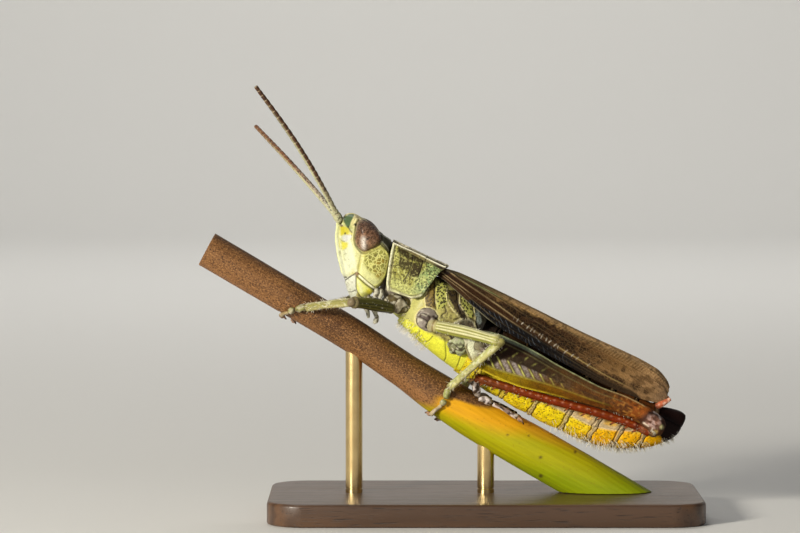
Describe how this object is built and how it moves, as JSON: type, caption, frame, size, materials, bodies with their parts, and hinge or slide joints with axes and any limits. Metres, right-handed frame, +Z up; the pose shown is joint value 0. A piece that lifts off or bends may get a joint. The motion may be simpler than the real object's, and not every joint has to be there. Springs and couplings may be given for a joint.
{
  "type": "grasshopper",
  "caption": "Life-size still model of a slant-faced field grasshopper resting head up on a cut length of sloping plant stem, on a small display stand.",
  "frame": {"origin": "middle of the display base's underside, at the bottom centre of the whole model", "axes": "+Z up, -X the way the animal faces, -Y its left side; the rear edge of the pronotum is straight above the origin"},
  "size_m": [0.021, 0.0094, 0.018],
  "materials": {
    "head": "satin",
    "palp": "satin",
    "eye": "glossy",
    "antenna": "satin",
    "pronotum": "satin",
    "thorax": "satin",
    "abdomen": "satin",
    "abdomen_tip": "satin",
    "cercus": "satin",
    "wing": "satin",
    "leg": "satin",
    "thigh": "satin",
    "shin": "satin",
    "stem": "dry plant stem",
    "stand_base": "waxed",
    "stand_rod": "polished"
  },
  "bodies": {
    "root": {"abdomen": "abdomen", "abdomen_tip": "abdomen_tip", "antenna_left": "antenna", "antenna_right": "antenna", "cercus_left": "cercus", "cercus_right": "cercus", "coxa_front_left": "leg", "coxa_front_right": "leg", "coxa_hind_left": "leg", "coxa_hind_right": "leg", "coxa_middle_left": "leg", "coxa_middle_right": "leg", "eye_left": "eye", "eye_right": "eye", "femur_front_left": "leg", "femur_front_right": "leg", "femur_hind_left": "thigh", "femur_hind_right": "thigh", "femur_middle_left": "leg", "femur_middle_right": "leg", "forewing_left": "wing", "forewing_right": "wing", "head": "head", "mouthparts": "head", "palp_left": "palp", "palp_right": "palp", "perch_stem": "stem", "pronotum": "pronotum", "prothorax": "thorax", "stand_base": "stand_base", "stand_rod_front": "stand_rod", "stand_rod_rear": "stand_rod", "tarsus_front_left": "leg", "tarsus_front_right": "leg", "tarsus_hind_left": "leg", "tarsus_hind_right": "leg", "tarsus_middle_left": "leg", "tarsus_middle_right": "leg", "thorax": "thorax", "tibia_front_left": "leg", "tibia_front_right": "leg", "tibia_hind_left": "shin", "tibia_hind_right": "shin", "tibia_middle_left": "leg", "tibia_middle_right": "leg"}
  },
  "joints": []
}
